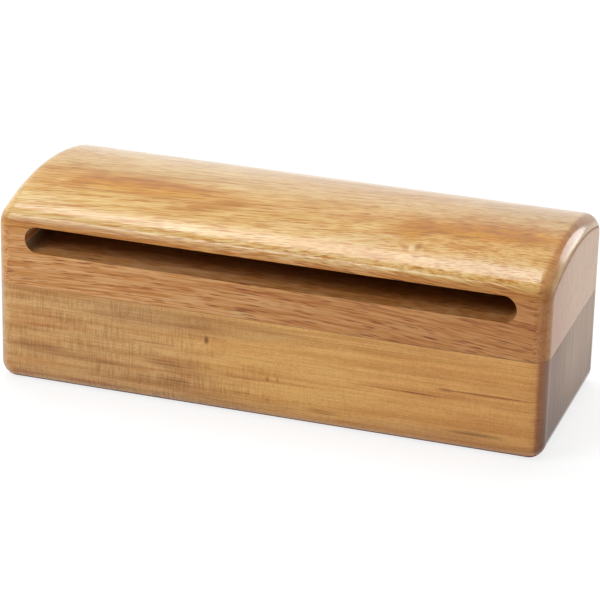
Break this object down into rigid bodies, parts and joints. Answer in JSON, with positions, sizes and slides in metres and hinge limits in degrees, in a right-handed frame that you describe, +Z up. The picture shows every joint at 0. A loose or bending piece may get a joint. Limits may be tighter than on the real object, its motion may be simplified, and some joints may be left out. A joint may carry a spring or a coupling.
{
  "type": "woodblock",
  "caption": "Rectangular percussion woodblock of two glued hardwood boards, with an arched striking top, rounded edges and a long blind slot in the front.",
  "frame": {"origin": "centre of the flat underside", "axes": "+X along the slot, towards the right end as seen from the slotted front; the slotted front faces -Y; +Z up through the crown of the arch"},
  "size_m": [0.203, 0.078, 0.0712],
  "materials": {
    "upper_board_wood": "clear gloss lacquer over open-pored reddish-tan hardwood",
    "lower_board_wood": "clear gloss lacquer over fine-grained pale hardwood",
    "wood_glue": "cured wood glue, under the same lacquer"
  },
  "bodies": {
    "root": {"upper_block": "upper_board_wood", "glue_line": "wood_glue", "lower_block": "lower_board_wood"}
  },
  "joints": []
}
